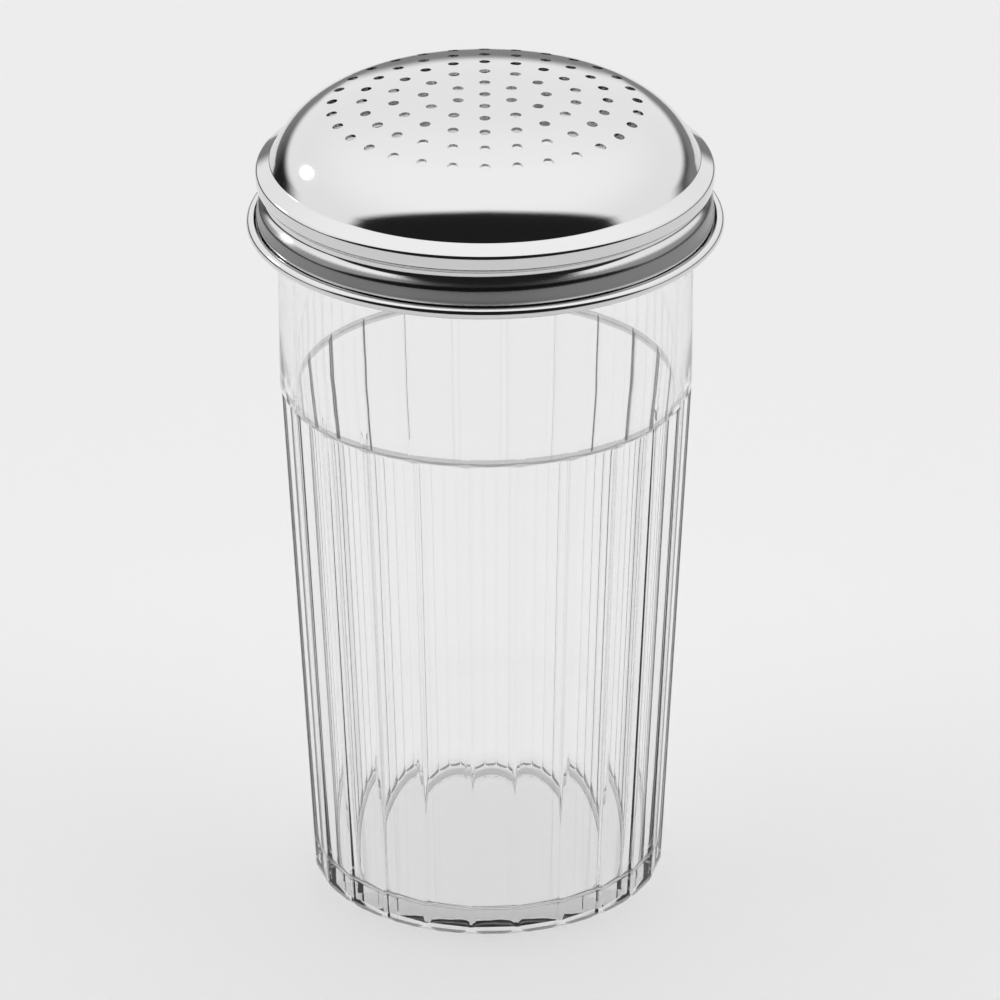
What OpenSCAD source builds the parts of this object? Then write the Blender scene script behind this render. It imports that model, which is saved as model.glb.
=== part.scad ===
// Table shaker for grated cheese, spice or sugar: a clear moulded jar with a fluted, tapered body and a
// plain band under its screw thread, and a one-piece sheet metal lid with a perforated dome.
// Millimetres, +Z up. The origin is the centre of the jar's underside, and the front faces -Y.
// The jar stands on its foot ring. The lid sits over the jar's thread and lifts off upwards.

/* [Jar body] */
// height of the jar from its foot to its rim
jar_h = 135.9; // [120:0.1:180]
// outside radius of the plain band and of the neck
band_r = 35.68; // [32:0.1:42]
// outside radius of the ridges between the flutes, carried down to the foot
foot_r = 30.76; // [26:0.1:35]
// height of the ledge where the flutes end and the plain band starts
ledge_z = 93.5; // [60:0.1:105]
// thickness of the jar's wall
wall = 2.5; // [1.6:0.1:3.5]
// thickness of the jar's floor
floor_t = 4.3; // [2.5:0.1:7]
// rounding of the outer edge of the foot
heel_r = 1.6; // [0.6:0.1:3]
// rounding between the floor and the wall inside
corner_r = 1.8; // [0.6:0.1:4]
// rounding of the rim's two edges
rim_r = 0.8; // [0.3:0.1:1]
// depth of the shallow recess under the foot
recess_h = 0.6; // [0.2:0.1:1.5]
// width of the flat ring that the jar stands on
foot_ring_w = 3; // [2:0.5:6]

/* [Flutes] */
// number of flutes round the body
flutes = 24; // [16:1:36]
// radius of each flute's hollow, across its width
flute_cut_r = 30; // [20:1:120]
// width of the ridge left between two flutes
ridge_w = 0.8; // [0.1:0.05:1.5]
// height of the slope from a flute out to the band
ledge_h = 0.5; // [0.4:0.1:3]
// turn of the flutes about the axis, which puts a ridge this far left of the front
flute_turn = 5.6; // [0:0.1:15]

/* [Jar thread] */
// rise of the thread in one turn
thread_pitch = 3.6; // [2.5:0.1:4]
// turns of thread on the neck
thread_turns = 1.25; // [1:0.05:1.5]
// how far the thread stands out of the neck
thread_proud = 1.2; // [0.8:0.05:1.4]
// height of the thread at the neck's wall
thread_w = 2.2; // [1.4:0.1:2.4]
// distance from the rim down to the top of the thread
thread_drop = 3; // [2.6:0.1:4]

/* [Lid] */
// how far the rolled hem stands out from the groove round the skirt
hem_out = 3.27; // [2.8:0.01:6]
// thickness of the lid's sheet
sheet = 0.5; // [0.4:0.05:0.7]
// gap between the thread and the inside of the skirt
skirt_gap = 0.35; // [0.3:0.05:0.8]
// gap between the jar's rim and the inside of the dome
seat_gap = 0.3; // [0.2:0.05:0.6]
// how steeply the sloping shoulder between the dome and the bead looks up, in degrees
shoulder_turn = 58; // [50:1:75]
// height of the skirt from the top of the bead down to the hem's underside
skirt_h = 11.25; // [11:0.05:16]
// radius of the rolled hem
hem_roll_r = 1; // [0.9:0.05:1.3]
// how far the shoulder's bead stands out from the groove
bead_out = 1.62; // [1.3:0.01:2.2]
// rounding of the bead's upper edge
bead_r = 0.9; // [0.8:0.05:1.2]
// height of the bead's face
bead_face = 1.55; // [0.8:0.05:2]
// rounding of the groove under the bead
groove_r = 1.3; // [0.8:0.05:1.5]
// rounding of the ridge where the groove's slope turns down into the wall
step_r = 1.6; // [1:0.05:2]
// how steeply the slope between the groove and the ridge looks up, in degrees
step_turn = 40; // [30:1:55]
// how much the wall widens towards the hem, in degrees
wall_turn = 7; // [0:0.5:10]
// radius of curvature of the dome between its flat middle and its edge
haunch_r = 72.6; // [60:0.2:90]
// how steeply the dome's edge comes down on the shoulder, in degrees
foot_turn = 66.4; // [60:0.2:80]
// share of the dome's radius that is flat
crown_share = 0.21; // [0.15:0.01:0.35]
// share of the dome's radius where its edge begins to turn down
haunch_share = 0.71; // [0.65:0.01:0.78]
// how far the dome's foot lies outside the neck
dome_gap = 1.12; // [0.9:0.01:1.5]

/* [Sprinkle holes] */
// diameter of one hole
hole_d = 1.9; // [1:0.1:3]
// distance between one ring of holes and the next
hole_pitch = 5.24; // [4:0.02:5.4]
// rings of holes round the one in the middle
hole_rings = 5; // [1:1:5]

/* [Hidden] */

$fn = 144;

// jar
body_slope = (band_r - foot_r) / ledge_z;
body_tilt = atan(body_slope);
heel_x = foot_r + body_slope * heel_r - heel_r / cos(body_tilt);
inner_foot_r = foot_r - wall;
inner_band_r = band_r - wall;
corner_z = floor_t + corner_r;
corner_x = inner_foot_r + body_slope * corner_z - corner_r / cos(body_tilt);
recess_r = heel_x - foot_ring_w;
flute_step = 360 / flutes;
flute_depth = band_r - flute_floor_r(ledge_z);
flute_tilt = atan((flute_floor_r(ledge_z) - flute_floor_r(0)) / ledge_z);

// thread
thread_r = band_r + thread_proud;
thread_root_r = band_r - wall / 2;
thread_rise = thread_pitch * thread_turns;
thread_low = jar_h - thread_drop - thread_rise - thread_w;
steps_a_turn = 36;
thread_steps = ceil(thread_turns * steps_a_turn);
// share of the thread's length over which each end rises, and how far an end sinks into the neck
thread_fade = 0.12;
thread_sink = 0.2;
// share of the thread's height where its crest begins
crest_share = 0.3;

// lid
foot_fillet_r = 0.5;
dome_foot_r = band_r + dome_gap;
crown_edge = dome_foot_r * crown_share;
haunch_edge = dome_foot_r * haunch_share;
haunch_turn = asin((haunch_edge - crown_edge) / haunch_r);
edge_r = (dome_foot_r - haunch_edge) / (sin(foot_turn) - sin(haunch_turn));
edge_x = haunch_edge - edge_r * sin(haunch_turn);
// the dome's edge lies over the rim's outer rounding, with the gap between them
rim_reach = edge_r - sheet - seat_gap - rim_r;
edge_z = jar_h - rim_r - sqrt(pow(rim_reach, 2) - pow(band_r - rim_r - edge_x, 2));
haunch_z = edge_z + (edge_r - haunch_r) * cos(haunch_turn);
dome_top = haunch_z + haunch_r;
fillet_x = edge_x + (edge_r + foot_fillet_r) * sin(foot_turn);
fillet_z = edge_z + (edge_r + foot_fillet_r) * cos(foot_turn);
skirt_r = thread_r + skirt_gap + sheet;
bead_x = skirt_r + bead_out - bead_r;
bead_z = fillet_z - (foot_fillet_r + bead_r + (bead_x - fillet_x) * cos(shoulder_turn)) / sin(shoulder_turn);
// how steeply the bead's face and its underside look down, in degrees
face_turn = 4;
under_turn = 70;
// rounding of the bead's lower edge
nose_r = sheet + 0.1;
nose_x = bead_x + (bead_r - nose_r) * cos(face_turn) - bead_face * sin(face_turn);
nose_z = bead_z - (bead_r - nose_r) * sin(face_turn) - bead_face * cos(face_turn);
groove_x = skirt_r + groove_r;
groove_z = nose_z - (nose_r + groove_r + (nose_x - groove_x) * cos(under_turn)) / sin(under_turn);
// how far round the hem is rolled, in degrees
hem_curl = 290;
hem_x = skirt_r + hem_out - hem_roll_r;
hem_z = bead_z + bead_r - skirt_h + hem_roll_r;
// how far out the ridge's middle lies, square to the wall and square to the slope above it
wall_reach = hem_x * cos(wall_turn) + hem_z * sin(wall_turn) + sheet - hem_roll_r - step_r;
slope_reach = groove_x * cos(step_turn) + groove_z * sin(step_turn) - groove_r - step_r;
step_x = (wall_reach * sin(step_turn) - slope_reach * sin(wall_turn)) / sin(step_turn - wall_turn);
step_z = (slope_reach * cos(wall_turn) - wall_reach * cos(step_turn)) / sin(step_turn - wall_turn);

// outside radius of the ridges at a height
function body_r(z) = foot_r + body_slope * z;

// half of a flute's width at a height
function flute_half(z) = body_r(z) * sin(flute_step / 2) - ridge_w / 2;

// distance from the axis to a flute's deepest line at a height
function flute_floor_r(z) =
    sqrt(pow(body_r(z), 2) - pow(flute_half(z), 2))
    - flute_cut_r + sqrt(pow(flute_cut_r, 2) - pow(flute_half(z), 2));

// points along an arc, closer together where its radius is large
function arc(x, z, r, from, to) =
    let (count = ceil(abs(to - from) * sqrt(abs(r)) / 18))
    [
        for (i = [0 : count])
            let (turn = from + (to - from) * i / count)
                [x + r * cos(turn), z + r * sin(turn)]
    ];

// a point at a radius, a turn about the axis and a height
function round_point(r, turn, z) = [r * cos(turn), r * sin(turn), z];

// outline of the jar's wall and floor, from the recess round the rim to the floor inside
function jar_outline() = concat(
    [[0, recess_h], [recess_r, recess_h], [recess_r + recess_h, 0]],
    arc(heel_x, heel_r, heel_r, -90, -body_tilt),
    [[band_r, ledge_z]],
    arc(band_r - rim_r, jar_h - rim_r, rim_r, 0, 90),
    arc(inner_band_r + rim_r, jar_h - rim_r, rim_r, 90, 180),
    [[inner_band_r, ledge_z]],
    arc(corner_x, corner_z, corner_r, -body_tilt, -90),
    [[0, floor_t]]
);

// one face of the lid's sheet, at a depth in from the outer face
function lid_face(depth) = concat(
    [[0, dome_top - depth]],
    arc(crown_edge, haunch_z, haunch_r - depth, 90, 90 - haunch_turn),
    arc(edge_x, edge_z, edge_r - depth, 90 - haunch_turn, 90 - foot_turn),
    arc(fillet_x, fillet_z, -foot_fillet_r - depth, 90 - foot_turn, shoulder_turn),
    arc(bead_x, bead_z, bead_r - depth, shoulder_turn, -face_turn),
    arc(nose_x, nose_z, nose_r - depth, -face_turn, -under_turn),
    arc(groove_x, groove_z, -groove_r - depth, -under_turn, step_turn),
    arc(step_x, step_z, step_r - depth, step_turn, wall_turn),
    arc(hem_x, hem_z, sheet - hem_roll_r - depth, wall_turn, hem_curl)
);

// the round bar that hollows one flute, with a tapered end that slopes out to the band
module flute_bar() {
    below = 5;
    beyond = 1.5;
    slope_z = ledge_z - ledge_h;
    translate([flute_floor_r(0), 0, 0])
        rotate([0, flute_tilt, 0])
            translate([flute_cut_r, 0, 0])
                rotate_extrude()
                    polygon([
                        [0, -below],
                        [flute_cut_r, -below],
                        [flute_cut_r, slope_z],
                        [flute_cut_r - flute_depth * beyond, slope_z + ledge_h * beyond],
                        [0, slope_z + ledge_h * beyond]
                    ]);
}

// what one flute takes away, kept to its own share of the turn
module flute_cutter() {
    clear_turn = 0.1;
    side = flute_step / 2 - clear_turn;
    near = foot_r / 2;
    beyond = band_r + 2;
    below = 1;
    above = 3;
    intersection() {
        flute_bar();
        translate([0, 0, -below])
            linear_extrude(height = below + ledge_z + above)
                polygon([
                    near * [cos(side), -sin(side)],
                    beyond * [cos(side), -sin(side)],
                    beyond * [cos(side), sin(side)],
                    near * [cos(side), sin(side)]
                ]);
    }
}

// the four corners of the thread's section, a share of its length along it
function thread_section(share) =
    let (
        turn = 360 * thread_turns * share,
        low = thread_low + thread_rise * share,
        full = min(1, share / thread_fade, (1 - share) / thread_fade),
        crest_r = thread_r - (1 - full) * (thread_proud + thread_sink)
    )
    [
        round_point(thread_root_r, turn, low),
        round_point(crest_r, turn, low + thread_w * crest_share),
        round_point(crest_r, turn, low + thread_w * (1 - crest_share)),
        round_point(thread_root_r, turn, low + thread_w)
    ];

// the thread, one helical rib that rises out of the neck and dies back into it
module neck_thread() {
    points = [
        for (i = [0 : thread_steps])
            each thread_section(i / thread_steps)
    ];
    last = 4 * thread_steps;
    sides = [
        for (i = [0 : thread_steps - 1])
            for (k = [0 : 3])
                let (a = 4 * i + k, b = 4 * i + (k + 1) % 4)
                    each [[a, a + 4, b], [b, a + 4, b + 4]]
    ];
    ends = [[0, 1, 2], [0, 2, 3], [last, last + 2, last + 1], [last, last + 3, last + 2]];
    polyhedron(points = points, faces = concat(sides, ends), convexity = 6);
}

// clear moulded jar with fluted body, thread and open mouth
module jar() {
    color([0.86, 0.9, 0.9, 0.4])
        difference() {
            union() {
                rotate_extrude()
                    polygon(jar_outline());
                neck_thread();
            }
            for (i = [0 : flutes - 1])
                rotate(-90 - flute_turn + (i + 0.5) * flute_step)
                    flute_cutter();
        }
}

// every sprinkle hole, each square to the dome where it is
module sprinkle_holes() {
    reach = 4;
    for (ring = [0 : hole_rings]) {
        r = ring * hole_pitch;
        count = max(1, 6 * ring);
        tilt = r < crown_edge ? 0
            : r < haunch_edge ? asin((r - crown_edge) / haunch_r)
            : asin((r - edge_x) / edge_r);
        surface_z = r < haunch_edge ? haunch_z + haunch_r * cos(tilt)
            : edge_z + edge_r * cos(tilt);
        for (i = [0 : count - 1])
            rotate(-90 + i * 360 / count)
                translate([r, 0, surface_z])
                    rotate([0, tilt, 0])
                        cylinder(d = hole_d, h = reach, center = true, $fn = 24);
    }
}

// drawn sheet metal lid with a perforated dome, sloping shoulder, bead, thread groove and rolled hem
module lid() {
    inner = lid_face(sheet);
    color([0.77, 0.78, 0.79])
        difference() {
            rotate_extrude()
                polygon(concat(lid_face(0), [for (i = [len(inner) - 1 : -1 : 0]) inner[i]]));
            sprinkle_holes();
        }
}

jar();
lid();
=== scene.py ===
"""Visual model of a table shaker: a clear fluted jar and a polished steel lid with a perforated dome."""

import logging
import math
from collections.abc import Callable
from dataclasses import dataclass
from enum import Enum

import bmesh
import bpy
from mathutils import Matrix, Vector


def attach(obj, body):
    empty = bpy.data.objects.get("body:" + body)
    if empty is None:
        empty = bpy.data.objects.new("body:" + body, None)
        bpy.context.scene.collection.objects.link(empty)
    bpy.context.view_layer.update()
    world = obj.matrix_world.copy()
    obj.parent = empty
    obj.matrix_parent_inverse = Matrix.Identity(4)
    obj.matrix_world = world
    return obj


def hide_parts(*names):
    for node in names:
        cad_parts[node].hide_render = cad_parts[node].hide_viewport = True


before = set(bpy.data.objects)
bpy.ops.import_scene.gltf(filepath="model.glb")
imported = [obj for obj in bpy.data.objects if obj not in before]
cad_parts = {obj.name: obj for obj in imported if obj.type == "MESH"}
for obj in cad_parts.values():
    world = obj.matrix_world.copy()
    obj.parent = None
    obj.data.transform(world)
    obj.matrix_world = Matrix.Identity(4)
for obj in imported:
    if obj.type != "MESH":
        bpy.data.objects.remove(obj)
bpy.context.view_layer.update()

MM = 0.001
LOG = logging.getLogger("shaker")
Point = tuple[float, float]
Setting = dict[str, object]


class Rides(Enum):
    """The bodies that the pieces move with."""

    JAR = "jar"
    LID = "lid"


class Wire:
    """A socket of a node tree that takes part in arithmetic."""

    def __init__(self, tree: "Tree", socket: bpy.types.NodeSocket) -> None:
        """Holds the socket and the tree that it belongs to."""
        self.tree = tree
        self.socket = socket

    def maths(self, operation: str, *others: object) -> "Wire":
        """Adds one Math node with this socket first.

        Args:
            operation: The Math node's operation.
            others: What goes into its other sockets, wires or numbers.

        Returns:
            The node's result.
        """
        return self.tree.maths(operation, self, *others)

    def __add__(self, other: object) -> "Wire":
        """Sum."""
        return self.maths("ADD", other)

    __radd__ = __add__

    def __mul__(self, other: object) -> "Wire":
        """Product."""
        return self.maths("MULTIPLY", other)

    __rmul__ = __mul__

    def __sub__(self, other: object) -> "Wire":
        """Difference."""
        return self.maths("SUBTRACT", other)

    def __rsub__(self, other: object) -> "Wire":
        """Difference with this socket taken away."""
        return self.tree.maths("SUBTRACT", other, self)

    def __abs__(self) -> "Wire":
        """Size without its sign."""
        return self.maths("ABSOLUTE")

    def rise(self, low: float, high: float) -> "Wire":
        """Smooth step from 0 at low to 1 at high.

        Args:
            low: Value at which the step starts.
            high: Value at which it is complete.

        Returns:
            The step's value, between 0 and 1.
        """
        node = self.tree.add(
            "ShaderNodeMapRange",
            {"interpolation_type": "SMOOTHSTEP"},
            {"Value": self, "From Min": low, "From Max": high},
        )
        return Wire(self.tree, node.outputs["Result"])


class Tree:
    """A node tree that grows one node at a time."""

    def __init__(self, tree: bpy.types.NodeTree) -> None:
        """Starts from an empty tree."""
        self.tree = tree
        tree.nodes.clear()

    def add(
        self, kind: str, settings: Setting | None = None, sockets: Setting | None = None
    ) -> bpy.types.Node:
        """Adds a node, sets what it is set to, then fills its sockets.

        Args:
            kind: The node's type name.
            settings: The node's own settings, such as a Math node's operation.
            sockets: A value or a wire for each named or numbered socket.

        Returns:
            The new node.
        """
        node = self.tree.nodes.new(kind)
        for name, value in (settings or {}).items():
            setattr(node, name, value)
        for name, value in (sockets or {}).items():
            socket = node.inputs[name]
            if isinstance(value, Wire):
                self.tree.links.new(value.socket, socket)
            else:
                socket.default_value = value
        return node

    def out(
        self, kind: str, output: str, settings: Setting | None = None, sockets: Setting | None = None
    ) -> Wire:
        """Adds a node and gives one of its outputs.

        Args:
            kind: The node's type name.
            output: Name of the wanted output.
            settings: The node's own settings.
            sockets: A value or a wire for each socket.

        Returns:
            That output as a wire.
        """
        return Wire(self, self.add(kind, settings, sockets).outputs[output])

    def maths(self, operation: str, *values: object) -> Wire:
        """Adds one Math node.

        Args:
            operation: The Math node's operation.
            values: Wires or numbers for its sockets, in order.

        Returns:
            The node's result.
        """
        return self.out("ShaderNodeMath", "Value", {"operation": operation}, dict(enumerate(values)))

    def place(self, source: str = "Object") -> tuple[Wire, Wire, Wire, Wire]:
        """Reads a texture coordinate.

        Args:
            source: Which of the Texture Coordinate node's outputs to read.

        Returns:
            The coordinate, then its x, y and z.
        """
        whole = self.out("ShaderNodeTexCoord", source)
        parts = self.add("ShaderNodeSeparateXYZ", sockets={0: whole}).outputs
        return whole, *(Wire(self, parts[axis]) for axis in "XYZ")

    def grey(self, tone: Wire) -> Wire:
        """Makes a grey colour.

        Args:
            tone: How light the grey is.

        Returns:
            The colour.
        """
        return self.out("ShaderNodeCombineColor", "Color", sockets={0: tone, 1: tone, 2: tone})

    def background_seen(self) -> Wire:
        """Tells the rays that see the background, straight or through the clear plastic.

        Returns:
            1 for those rays and 0 for the others.
        """
        path = self.add("ShaderNodeLightPath").outputs
        return Wire(self, path["Is Camera Ray"]).maths("MAXIMUM", Wire(self, path["Is Transmission Ray"]))

    def noise(self, where: Wire, scale: float, detail: float = 2.0) -> Wire:
        """Soft noise between 0 and 1.

        Args:
            where: The coordinate that it is read at.
            scale: Bumps to the metre.
            detail: Octaves of finer noise on top.

        Returns:
            The noise's value.
        """
        sockets = {"Vector": where, "Scale": scale, "Detail": detail}
        return self.out("ShaderNodeTexNoise", "Fac", sockets=sockets)


@dataclass(frozen=True)
class ClearPlastic:
    """Clear, polished moulding plastic with faint handling scuffs, with painted shade greying its thick
    floor a little and a painted dark line along its ledge.
    """

    bend: float = 1.57
    gloss: float = 0.004
    scuff: float = 0.03
    wave_height: float = 0.00003
    light_let_by: float = 0.9
    floor_painted_shade_tone: float = 0.97
    ledge_painted_shade_tone: float = 0.42
    absorption: float = 6.0
    floor_low: float = 4.0 * MM
    floor_high: float = 5.2 * MM
    ledge_low: float = 92.4 * MM
    ledge_high: float = 93.4 * MM

    def make(self) -> bpy.types.Material:
        """Builds the material.

        Returns:
            The finished material.
        """
        material = bpy.data.materials.new("clear_plastic")
        material.use_nodes = True
        tree = Tree(material.node_tree)
        where, _, _, z = tree.place()
        # Painted shade: the jar's floor is greyed a little, standing in for the shade under the jar.
        tone = self.floor_painted_shade_tone + z.rise(self.floor_low, self.floor_high) * (1.0 - self.floor_painted_shade_tone)
        # Painted shade: a dark band in the base colour across the ledge stands in for the light that the
        # ledge bends away.
        painted_ledge_shade = z.rise(self.ledge_low, self.ledge_low + 0.4 * MM)
        painted_ledge_shade = painted_ledge_shade * (1.0 - z.rise(self.ledge_high, self.ledge_high + 0.2 * MM))
        tone = tone * (1.0 - painted_ledge_shade * (1.0 - self.ledge_painted_shade_tone))
        scuffs = tree.noise(where, 900.0, 3.0).rise(0.62, 0.8) * tree.noise(where, 60.0).rise(0.5, 0.75)
        bump = tree.out(
            "ShaderNodeBump",
            "Normal",
            sockets={"Strength": 0.4, "Distance": self.wave_height, "Height": tree.noise(where, 110.0, 1.0)},
        )
        shader = tree.out(
            "ShaderNodeBsdfPrincipled",
            "BSDF",
            sockets={
                "Base Color": tree.grey(tone),
                "Roughness": self.gloss + scuffs * self.scuff,
                "IOR": self.bend,
                "Transmission Weight": 1.0,
                "Normal": bump,
            },
        )
        shade = tree.out("ShaderNodeLightPath", "Is Shadow Ray") * self.light_let_by
        clear = tree.out("ShaderNodeBsdfTransparent", "BSDF")
        both = tree.out("ShaderNodeMixShader", "Shader", sockets={0: shade, 1: shader, 2: clear})
        inside = tree.out(
            "ShaderNodeVolumeAbsorption",
            "Volume",
            sockets={"Color": (0.0, 0.0, 0.0, 1.0), "Density": self.absorption},
        )
        tree.add("ShaderNodeOutputMaterial", sockets={"Surface": both, "Volume": inside})
        return material


@dataclass(frozen=True)
class PolishedSteel:
    """Polished stainless sheet with fine rubbing marks, duller on the skirt's knurled wall, where painted
    shade also darkens it.
    """

    shine: float = 0.7
    knurl_painted_shade_tone: float = 0.24
    roughness: float = 0.07
    dull_low: float = 124.4 * MM
    dull_high: float = 128.4 * MM
    wall_inner: float = 38.2 * MM
    wall_outer: float = 38.6 * MM

    def make(self) -> bpy.types.Material:
        """Builds the material.

        Returns:
            The finished material.
        """
        material = bpy.data.materials.new("polished_steel")
        material.use_nodes = True
        tree = Tree(material.node_tree)
        where, x, y, z = tree.place()
        grain = tree.noise(where, 2600.0, 3.0)
        smears = tree.noise(where, 55.0, 4.0)
        edge = 0.4 * MM
        reach = (x * x + y * y).maths("SQRT")
        # The wall mask makes the knurled wall rougher and, through the base colour, darker by painted shade.
        wall = (
            z.rise(self.dull_low, self.dull_low + edge)
            * (1.0 - z.rise(self.dull_high, self.dull_high + edge))
            * reach.rise(self.wall_inner, self.wall_outer)
        )
        fine = tree.out(
            "ShaderNodeBump", "Normal", sockets={"Strength": 0.15, "Distance": 0.00002, "Height": grain}
        )
        shader = tree.out(
            "ShaderNodeBsdfPrincipled",
            "BSDF",
            sockets={
                "Base Color": tree.grey(self.shine - wall * (self.shine - self.knurl_painted_shade_tone)),
                "Metallic": 1.0,
                "Roughness": self.roughness + smears * 0.04 + wall * 0.12,
                "Normal": fine,
            },
        )
        tree.add("ShaderNodeOutputMaterial", sockets={"Surface": shader})
        return material


def arc(x: float, z: float, radius: float, start: float, stop: float, steps: int) -> list[Point]:
    """Points along an arc of an outline.

    Args:
        x: Distance of the arc's centre from the axis.
        z: Height of the centre.
        radius: Radius, negative for a hollow arc.
        start: Turn of the first point, in degrees from the outward direction.
        stop: Turn of the last point.
        steps: Steps between them.

    Returns:
        The points, in the same unit as the radius.
    """
    turns = (math.radians(start + (stop - start) * step / steps) for step in range(steps + 1))
    return [(x + radius * math.cos(turn), z + radius * math.sin(turn)) for turn in turns]


def line(start: Point, stop: Point, steps: int) -> list[Point]:
    """Points along a straight piece of an outline, without its first.

    Args:
        start: Where it starts.
        stop: Where it ends.
        steps: Steps between them.

    Returns:
        The points after the first.
    """
    return [
        (start[0] + (stop[0] - start[0]) * step / steps, start[1] + (stop[1] - start[1]) * step / steps)
        for step in range(1, steps + 1)
    ]


def soft_floor(value: float, softness: float) -> float:
    """The value where it is above zero and zero below, with the corner rounded."""
    return (value + math.hypot(value, softness)) / 2


def smooth_step(value: float) -> float:
    """Smooth step from 0 to 1 as the value goes from 0 to 1."""
    value = min(1.0, max(0.0, value))
    return value * value * (3 - 2 * value)


def spun(outline: list[Point], steps: int) -> bmesh.types.BMesh:
    """Spins an outline all the way round the upright axis.

    Args:
        outline: Points as distance from the axis and height, in millimetres.
        steps: Steps of the turn.

    Returns:
        The spun mesh, in metres.
    """
    mesh = bmesh.new()
    verts = [mesh.verts.new((x * MM, 0.0, z * MM)) for x, z in outline]
    edges = [mesh.edges.new(pair) for pair in zip(verts, verts[1:])]
    bmesh.ops.spin(
        mesh,
        geom=verts + edges,
        axis=(0.0, 0.0, 1.0),
        cent=(0.0, 0.0, 0.0),
        angle=2 * math.pi,
        steps=steps,
        use_merge=True,
        use_duplicate=False,
    )
    return mesh


def finished(mesh: bmesh.types.BMesh, name: str, crease: float) -> bpy.types.Object:
    """Turns a mesh under construction into a smooth shaded object.

    Args:
        mesh: The mesh, which is used up.
        name: Name of the new object.
        crease: Angle in degrees above which an edge stays sharp.

    Returns:
        The object, linked to the scene.
    """
    data = bpy.data.meshes.new(name)
    mesh.to_mesh(data)
    mesh.free()
    data.shade_smooth()
    data.set_sharp_from_angle(angle=math.radians(crease))
    piece = bpy.data.objects.new(name, data)
    bpy.context.scene.collection.objects.link(piece)
    return piece


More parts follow.
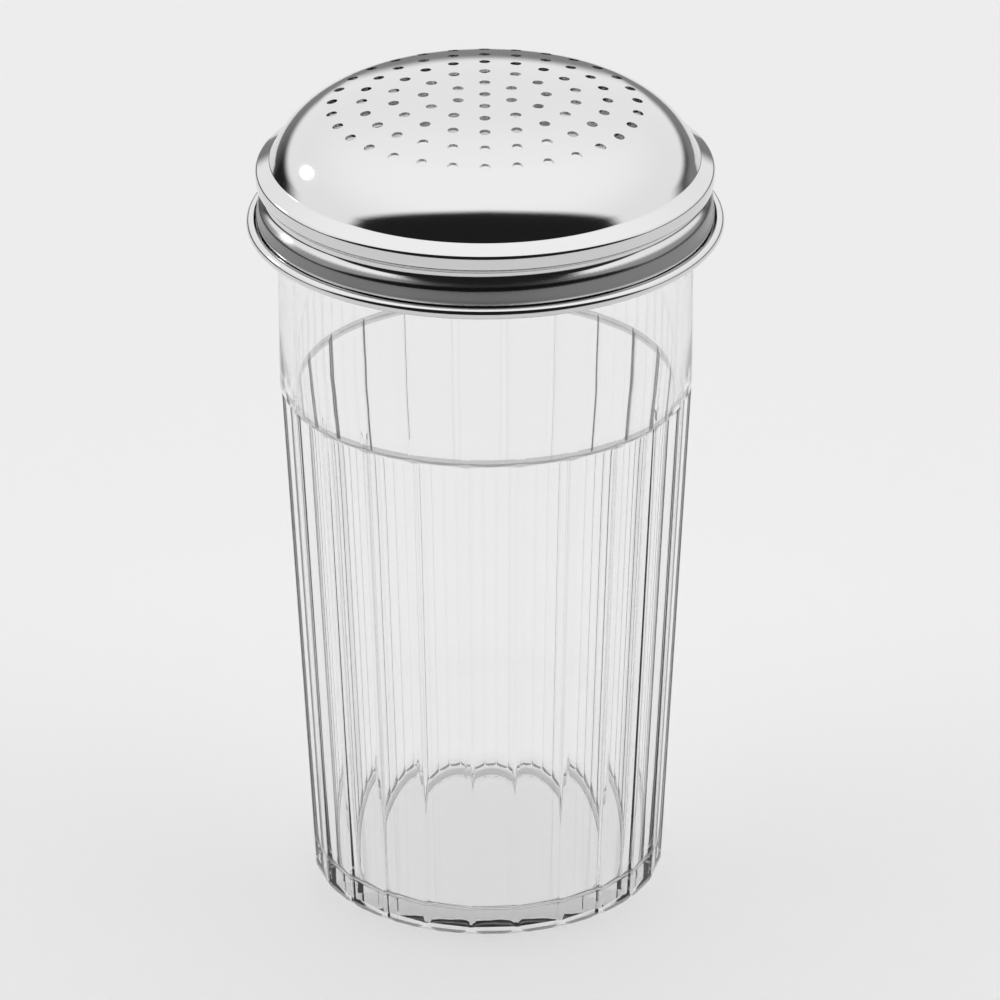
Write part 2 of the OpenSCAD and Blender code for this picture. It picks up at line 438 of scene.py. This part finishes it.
@dataclass
class Jar:
    """Clear moulded jar: floor, fluted body, plain band and threaded neck, in millimetres."""

    height: float = 135.9
    band_r: float = 35.68
    foot_r: float = 30.76
    ledge_z: float = 93.5
    ledge_h: float = 0.85
    wall: float = 2.5
    floor: float = 4.3
    heel_r: float = 1.6
    corner_r: float = 1.8
    rim_r: float = 0.8
    recess: float = 0.6
    foot_ring: float = 3.0
    flutes: int = 24
    flute_r: float = 30.0
    ridge: float = 0.8
    ridge_step: float = 0.12
    step_width: float = 0.3
    neck_z: float = 123.0
    flute_turn: float = 5.6
    pitch: float = 3.6
    turns: float = 1.25
    thread_out: float = 1.2
    thread_high: float = 2.2
    thread_drop: float = 3.0
    columns: int = 26

    def body_r(self, z: float) -> float:
        """Outside radius of the ridges at a height."""
        return self.foot_r + (self.band_r - self.foot_r) * z / self.ledge_z

    def flute_depth(self, off: float, z: float) -> float:
        """How far a flute's surface lies inside the ridges.

        Args:
            off: Turn away from the middle of the flute, in radians.
            z: Height.

        Returns:
            The depth in millimetres, with the ridges' edges eased.
        """
        reach = self.body_r(z)
        half = reach * math.sin(math.pi / self.flutes) - self.ridge / 2
        across = reach * math.sin(abs(off))
        bend = (1 / self.flute_r + 1 / reach) / 2
        depth = soft_floor(half * half * bend - across * across * bend, 0.03)
        depth += self.ridge_step * smooth_step((half - across) / self.step_width)
        slope = half * half * bend / self.ledge_h
        room = (self.ledge_z - z) * slope
        return max(0.0, depth - soft_floor(depth - room, 0.06))

    def thread_rise(self, turn: float, z: float) -> float:
        """How far the thread stands out of the neck.

        Args:
            turn: Turn about the axis in radians, from 0 to a full turn.
            z: Height.

        Returns:
            The height of the thread there, in millimetres.
        """
        rise = self.pitch * self.turns
        low = self.height - self.thread_drop - rise - self.thread_high
        stand = 0.0
        for lap in range(2):
            share = (turn / (2 * math.pi) + lap) / self.turns
            if share <= 1:
                off = abs(z - low - rise * share - self.thread_high / 2) / (self.thread_high / 2)
                fade = smooth_step(min(share, 1 - share) / 0.12)
                stand = max(stand, smooth_step((1 - off) / 0.6) * fade)
        return stand * self.thread_out

    def outline(self) -> list[Point]:
        """Half section of the jar, from its underside round the rim to the floor inside.

        Returns:
            The outline's points.
        """
        tilt = math.atan((self.band_r - self.foot_r) / self.ledge_z)
        lean = math.degrees(tilt)
        heel_x = self.body_r(self.heel_r) - self.heel_r / math.cos(tilt)
        corner_z = self.floor + self.corner_r
        corner_x = self.body_r(corner_z) - self.wall - self.corner_r / math.cos(tilt)
        recess_r = heel_x - self.foot_ring
        inner = self.band_r - self.wall
        heel = arc(heel_x, self.heel_r, self.heel_r, -90, -lean, 8)
        ledge_low = self.ledge_z - self.ledge_h - 0.4
        top = self.height - self.rim_r
        return [
            (0.0, self.recess),
            (recess_r * 0.6, self.recess),
            (recess_r, self.recess),
            (recess_r + self.recess, 0.0),
            *heel,
            *line(heel[-1], (self.body_r(ledge_low), ledge_low), 26),
            *line((self.body_r(ledge_low), ledge_low), (self.band_r, self.ledge_z), 12),
            *line((self.band_r, self.ledge_z), (self.band_r, self.neck_z), 8),
            *line((self.band_r, self.neck_z), (self.band_r, top - 1), 26),
            *arc(self.band_r - self.rim_r, top, self.rim_r, 0, 90, 5),
            *arc(inner + self.rim_r, top, self.rim_r, 90, 180, 5),
            *line((inner, top), (inner, self.ledge_z), 4),
            *line((inner, self.ledge_z), (self.body_r(corner_z) - self.wall, corner_z), 6)[:-1],
            *arc(corner_x, corner_z, self.corner_r, -lean, -90, 8),
            (corner_x * 0.6, self.floor),
            (0.0, self.floor),
        ]

    def shape(self, mesh: bmesh.types.BMesh) -> None:
        """Hollows the flutes and raises the thread on the spun jar.

        Args:
            mesh: The spun mesh, whose vertices are moved in place.
        """
        step = 2 * math.pi / self.flutes
        start = math.radians(-90 - self.flute_turn)
        total = self.flutes * self.columns
        for vert in mesh.verts:
            reach, z = math.hypot(vert.co.x, vert.co.y) / MM, vert.co.z / MM
            if reach < 0.001:
                continue
            column = round(math.atan2(vert.co.y, vert.co.x) / (2 * math.pi) * total)
            flute, place = divmod(column, self.columns)
            share = place / self.columns
            share -= 0.7 * math.sin(2 * math.pi * share) / (2 * math.pi)
            turn = start + (flute + share) * step
            if z < self.ledge_z and reach > self.body_r(z) - self.wall * 0.6:
                edge = self.body_r(z) - self.flute_depth((share - 0.5) * step, z)
                reach -= soft_floor(reach - edge, 0.02)
            elif reach > self.band_r - 0.01:
                reach += self.thread_rise(turn % (2 * math.pi), z)
            vert.co = Vector((math.cos(turn) * reach, math.sin(turn) * reach, z)) * MM

    def build(self, finish: ClearPlastic) -> bpy.types.Object:
        """Models and dresses the jar.

        Args:
            finish: What the jar is made of.

        Returns:
            The finished piece.
        """
        mesh = spun(self.outline(), self.flutes * self.columns)
        self.shape(mesh)
        bmesh.ops.remove_doubles(mesh, verts=mesh.verts, dist=1e-6)
        bmesh.ops.recalc_face_normals(mesh, faces=mesh.faces)
        piece = finished(mesh, "clear_jar", 32.0)
        piece.data.materials.append(finish.make())
        return piece


@dataclass
class Lid:
    """Drawn steel lid: perforated dome, beaded shoulder, thread groove, knurled skirt and curled hem."""

    sheet: float = 0.5
    top: float = 146.295
    crown_edge: float = 7.728
    haunch_edge: float = 26.128
    haunch_r: float = 72.6
    dome_foot_r: float = 36.8
    foot_turn: float = 66.4
    fillet_r: float = 0.5
    shoulder_turn: float = 58.0
    neck_r: float = 37.73
    bead_out: float = 1.62
    bead_r: float = 0.9
    bead_face: float = 1.55
    nose_r: float = 0.6
    groove_r: float = 1.3
    step_r: float = 1.6
    face_turn: float = 4.0
    under_turn: float = 70.0
    step_turn: float = 40.0
    wall_turn: float = 7.0
    hem_x: float = 40.0
    hem_z: float = 123.25
    hem_r: float = 1.0
    hem_curl: float = 290.0
    hole_d: float = 1.9
    hole_pitch: float = 5.24
    rings: int = 5
    pitch: float = 3.6
    knurl: float = 0.05
    skirt_top: float = 130.5
    ridge_z: float = 129.0
    steps: int = 480

    def __post_init__(self) -> None:
        """Works out the dome's arcs from its sizes."""
        foot = math.radians(self.foot_turn)
        self.haunch_z = self.top - self.haunch_r
        self.haunch_turn = math.asin((self.haunch_edge - self.crown_edge) / self.haunch_r)
        self.edge_r = (self.dome_foot_r - self.haunch_edge) / (math.sin(foot) - math.sin(self.haunch_turn))
        self.edge_x = self.haunch_edge - self.edge_r * math.sin(self.haunch_turn)
        self.edge_z = self.haunch_z + (self.haunch_r - self.edge_r) * math.cos(self.haunch_turn)

    def dome(self, reach: float) -> tuple[float, float]:
        """Height and slope of the dome.

        Args:
            reach: Distance from the axis.

        Returns:
            The height in millimetres and the slope in radians.
        """
        if reach < self.crown_edge:
            return self.haunch_z + self.haunch_r, 0.0
        if reach < self.haunch_edge:
            slope = math.asin((reach - self.crown_edge) / self.haunch_r)
            return self.haunch_z + self.haunch_r * math.cos(slope), slope
        slope = math.asin((reach - self.edge_x) / self.edge_r)
        return self.edge_z + self.edge_r * math.cos(slope), slope

    def cell(self, mesh: bmesh.types.BMesh, ring: int, turn: float, inner: int, outer: int) -> None:
        """Lays the patch of the dome round one hole.

        Args:
            mesh: The mesh that takes the patch.
            ring: Number of the hole's ring, 0 for the hole in the middle.
            turn: Turn of the hole about the axis, in radians.
            inner: Edges on the patch's inner side.
            outer: Edges on its outer side.
        """
        side, loops = 6, 5
        low, high = (ring - 0.5) * self.hole_pitch, (ring + 0.5) * self.hole_pitch
        half = math.pi / (6 * ring) if ring else math.pi
        if ring:
            border = [(low, half - 2 * half * i / inner) for i in range(inner)]
            border += [(low + (high - low) * i / side, -half) for i in range(side)]
            border += [(high, 2 * half * i / outer - half) for i in range(outer)]
            border += [(high - (high - low) * i / side, half) for i in range(side)]
        else:
            border = [(high, 2 * math.pi * i / outer) for i in range(outer)]
        centre = ring * self.hole_pitch
        slope = self.dome(centre)[1]
        grid = bmesh.ops.create_grid(mesh, x_segments=len(border), y_segments=loops, size=1.0)["verts"]
        for place, vert in enumerate(grid):
            loop, step = divmod(place, len(border) + 1)
            reach, off = border[step % len(border)]
            if ring:
                away = math.atan2(reach * math.cos(off) - centre, reach * math.sin(off))
                hole_x = self.hole_d / 2 * math.cos(away)
                hole_y = centre + self.hole_d / 2 * math.sin(away) * math.cos(slope)
                hole_reach, hole_off = math.hypot(hole_x, hole_y), math.atan2(hole_x, hole_y)
            else:
                hole_reach, hole_off = self.hole_d / 2, off
            blend = (loop / loops) ** 1.25
            reach = hole_reach + (reach - hole_reach) * blend
            around = turn + hole_off + (off - hole_off) * blend
            vert.co = Vector((math.cos(around) * reach, math.sin(around) * reach, self.dome(reach)[0])) * MM

    def perforated(self, mesh: bmesh.types.BMesh) -> None:
        """Lays every patch of the dome that holds a hole.

        Args:
            mesh: The mesh that takes the patches.
        """
        borders = [24, 48, 72, 144, 240, self.steps]
        front = -math.pi / 2
        self.cell(mesh, 0, front, 0, borders[0])
        for ring in range(1, self.rings + 1):
            count = 6 * ring
            for hole in range(count):
                turn = front + 2 * math.pi * hole / count
                self.cell(mesh, ring, turn, borders[ring - 1] // count, borders[ring] // count)

    def outline(self) -> list[Point]:
        """Outer face of the sheet from the last ring of holes to the end of the curled hem.

        Returns:
            The outline's points.
        """
        start = (self.rings + 0.5) * self.hole_pitch
        slope = math.degrees(self.dome(start)[1])
        turns = (self.foot_turn, self.shoulder_turn, self.face_turn, self.under_turn)
        foot, shoulder, face, under = (math.radians(turn) for turn in turns)
        fillet_x = self.edge_x + (self.edge_r + self.fillet_r) * math.sin(foot)
        fillet_z = self.edge_z + (self.edge_r + self.fillet_r) * math.cos(foot)
        bead_x = self.neck_r + self.bead_out - self.bead_r
        drop = self.fillet_r + self.bead_r + (bead_x - fillet_x) * math.cos(shoulder)
        bead_z = fillet_z - drop / math.sin(shoulder)
        inset = self.bead_r - self.nose_r
        nose_x = bead_x + inset * math.cos(face) - self.bead_face * math.sin(face)
        nose_z = bead_z - inset * math.sin(face) - self.bead_face * math.cos(face)
        groove_x = self.neck_r + self.groove_r
        drop = self.nose_r + self.groove_r + (nose_x - groove_x) * math.cos(under)
        groove_z = nose_z - drop / math.sin(under)
        step, wall = math.radians(self.step_turn), math.radians(self.wall_turn)
        wall_reach = self.hem_x * math.cos(wall) + self.hem_z * math.sin(wall)
        wall_reach += self.sheet - self.hem_r - self.step_r
        slope_reach = groove_x * math.cos(step) + groove_z * math.sin(step) - self.groove_r - self.step_r
        step_x = (wall_reach * math.sin(step) - slope_reach * math.sin(wall)) / math.sin(step - wall)
        step_z = (slope_reach * math.cos(wall) - wall_reach * math.cos(step)) / math.sin(step - wall)
        ridge = arc(step_x, step_z, self.step_r, self.step_turn, self.wall_turn, 8)
        hem = arc(self.hem_x, self.hem_z, self.sheet - self.hem_r, self.wall_turn, self.hem_curl, 18)
        return [
            *arc(self.edge_x, self.edge_z, self.edge_r, 90 - slope, 90 - self.foot_turn, 9),
            *arc(fillet_x, fillet_z, -self.fillet_r, 90 - self.foot_turn, self.shoulder_turn, 4)[1:],
            *arc(bead_x, bead_z, self.bead_r, self.shoulder_turn, -self.face_turn, 6),
            *arc(nose_x, nose_z, self.nose_r, -self.face_turn, -self.under_turn, 4),
            *arc(groove_x, groove_z, -self.groove_r, -self.under_turn, self.step_turn, 12),
            *ridge,
            *line(ridge[-1], hem[0], 8)[:-1],
            *hem,
        ]

    def climb(self, turn: float) -> float:
        """How far the thread groove has risen at a turn from the front, where it runs at its middle height.

        Args:
            turn: Turn from the front towards the right, in radians between minus and plus half a turn.

        Returns:
            The rise in millimetres, which falls back across the rear of the lid.
        """
        runout = math.radians(140)
        if abs(turn) > runout:
            share = (math.pi - abs(turn)) / (math.pi - runout)
            return math.copysign(self.pitch * runout / (2 * math.pi) * smooth_step(share), turn)
        return self.pitch * turn / (2 * math.pi)

    def shape_skirt(self, mesh: bmesh.types.BMesh) -> None:
        """Turns the level groove into a thread's helix and presses the knurling into the wall under it.

        Args:
            mesh: The lid's mesh, whose vertices are moved in place.
        """
        under, crest, low = self.skirt_top, self.ridge_z, self.hem_z + self.hem_r
        for vert in mesh.verts:
            reach, z = math.hypot(vert.co.x, vert.co.y) / MM, vert.co.z / MM
            if low < z < under and reach < self.hem_x:
                turn = math.atan2(vert.co.x, -vert.co.y)
                share = min(1.0, (under - z) / (under - crest), (z - low) / (crest - 1 - low))
                vert.co.z += self.climb(turn) * share * 0.6 * MM
                column = round(turn / (2 * math.pi) * self.steps)
                depth = self.knurl * smooth_step((crest - 0.6 - z) / 0.5) * smooth_step((z - low) / 0.5)
                if column % 2:
                    vert.co.x *= 1 - depth / reach
                    vert.co.y *= 1 - depth / reach

    def build(self, finish: PolishedSteel) -> bpy.types.Object:
        """Models and dresses the lid.

        Args:
            finish: What the lid is made of.

        Returns:
            The finished piece.
        """
        mesh = spun(self.outline(), self.steps)
        self.shape_skirt(mesh)
        self.perforated(mesh)
        bmesh.ops.remove_doubles(mesh, verts=mesh.verts, dist=2e-6)
        bmesh.ops.recalc_face_normals(mesh, faces=mesh.faces)
        top = max(mesh.faces, key=lambda face: face.calc_center_median().z)
        if top.normal.z < 0:
            bmesh.ops.reverse_faces(mesh, faces=mesh.faces)
        bmesh.ops.solidify(mesh, geom=mesh.faces, thickness=self.sheet * MM)
        piece = finished(mesh, "steel_lid", 38.0)
        piece.data.materials.append(finish.make())
        return piece


@dataclass
class Studio:
    """Pale floor, soft light and the camera."""

    floor_tone: float = 0.96
    floor_reach: float = 1.0
    sheet_half: float = 0.095
    sheet_edge: float = 0.025
    wall_tone: float = 0.86
    level: float = 1.3
    level_gain: float = 0.2
    glow_behind: float = 0.3
    glow_beside: float = 0.35
    glow_all: float = 0.02
    lamp_strength: float = 6.0
    lamp_from: tuple[float, float, float] = (-0.784, 0.511, 0.353)
    lens_turn: float = 25.344
    lens_away: float = 1.408
    aim_z: float = 0.069875
    lens: float = 290.909
    shift: float = 0.01353
    roll: float = -0.24

    def camera(self) -> None:
        """Sets the camera in front of the shaker, looking down on it."""
        data = bpy.data.cameras.new("camera")
        data.lens, data.sensor_width, data.shift_x = self.lens, 36.0, self.shift
        data.clip_end = 10.0
        camera = bpy.data.objects.new("camera", data)
        bpy.context.scene.collection.objects.link(camera)
        down = math.radians(self.lens_turn)
        place = Matrix.Translation(
            (0.0, -self.lens_away * math.cos(down), self.aim_z + self.lens_away * math.sin(down))
        )
        aim = Matrix.Rotation(math.pi / 2 - down, 4, "X") @ Matrix.Rotation(math.radians(self.roll), 4, "Z")
        camera.matrix_world = place @ aim
        bpy.context.scene.camera = camera

    def floor(self) -> None:
        """Lays the pale floor, of which only a narrow sheet passes light on to matt surfaces."""
        mesh = bmesh.new()
        bmesh.ops.create_grid(mesh, x_segments=8, y_segments=8, size=self.floor_reach)
        piece = finished(mesh, "floor", 30.0)
        material = bpy.data.materials.new("pale_paper")
        material.use_nodes = True
        tree = Tree(material.node_tree)
        where, x, y, _ = tree.place()
        tone = self.floor_tone
        paper = tree.out(
            "ShaderNodeBsdfPrincipled",
            "BSDF",
            sockets={
                "Base Color": (tone, tone, tone, 1.0),
                "Roughness": 0.55 + tree.noise(where, 40.0) * 0.1,
                "Specular IOR Level": 0.3,
            },
        )
        outer = self.sheet_half + self.sheet_edge
        sheet = (
            x.rise(-outer, -self.sheet_half)
            * (1.0 - x.rise(self.sheet_half, outer))
            * (y.rise(-0.28, -0.2) * 0.3 + y.rise(-0.15, -0.11) * 0.7)
            * (1.0 - y.rise(0.4, 0.5))
        )
        seen = tree.background_seen().maths("MAXIMUM", tree.out("ShaderNodeLightPath", "Is Glossy Ray"))
        clear = tree.out("ShaderNodeBsdfTransparent", "BSDF")
        whole = tree.out(
            "ShaderNodeMixShader", "Shader", sockets={0: sheet.maths("MAXIMUM", seen), 1: clear, 2: paper}
        )
        tree.add("ShaderNodeOutputMaterial", sockets={"Surface": whole})
        piece.data.materials.append(material)

    def light(self) -> None:
        """Lights the shaker from a broad pale ceiling and a small lamp, with the camera's side left dark."""
        world = bpy.data.worlds.new("studio")
        bpy.context.scene.world = world
        world.use_nodes = True
        tree = Tree(world.node_tree)
        where, x, y, z = tree.place("Generated")
        ceiling = (z + y * 1.85 + abs(x) * 0.13).rise(-0.12, 0.12) * z.rise(0.04, 0.16)
        level = self.level + z.rise(0.3, 0.95) * self.level_gain
        beside = x.rise(0.25, 0.8) * z.rise(-0.45, -0.25) * (1.0 - z.rise(-0.05, 0.1))
        low = y.rise(0.75, 1.0) * self.glow_behind + beside * self.glow_beside + self.glow_all
        spot = tree.out(
            "ShaderNodeVectorMath",
            "Value",
            {"operation": "DOT_PRODUCT"},
            {0: where, 1: Vector(self.lamp_from).normalized()},
        ).rise(0.9965, 0.9985)
        strength = ceiling * level + (1.0 - ceiling) * low + spot * self.lamp_strength
        lamp = tree.out("ShaderNodeBackground", "Background", sockets={"Strength": strength})
        tone = self.wall_tone
        pale = tree.out("ShaderNodeBackground", "Background", sockets={"Color": (tone, tone, tone, 1.0)})
        seen = tree.background_seen()
        both = tree.out("ShaderNodeMixShader", "Shader", sockets={0: seen, 1: lamp, 2: pale})
        tree.add("ShaderNodeOutputWorld", sockets={"Surface": both})

    def build(self) -> None:
        """Sets up the whole studio."""
        self.camera()
        self.floor()
        self.light()
        bpy.context.scene.view_settings.view_transform = "Standard"


def main() -> None:
    """Builds the shaker in its studio."""
    logging.basicConfig(level=logging.INFO, format="%(name)s: %(message)s")
    Studio().build()
    makers: list[tuple[Rides, Callable[[], bpy.types.Object]]] = [
        (Rides.JAR, lambda: Jar().build(ClearPlastic())),
        (Rides.LID, lambda: Lid().build(PolishedSteel())),
    ]
    for body, make in makers:
        piece = make()
        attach(piece, body.value)
        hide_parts(body.value)
        LOG.info("%s: %d faces", piece.name, len(piece.data.polygons))


if __name__ == "__main__":
    main()
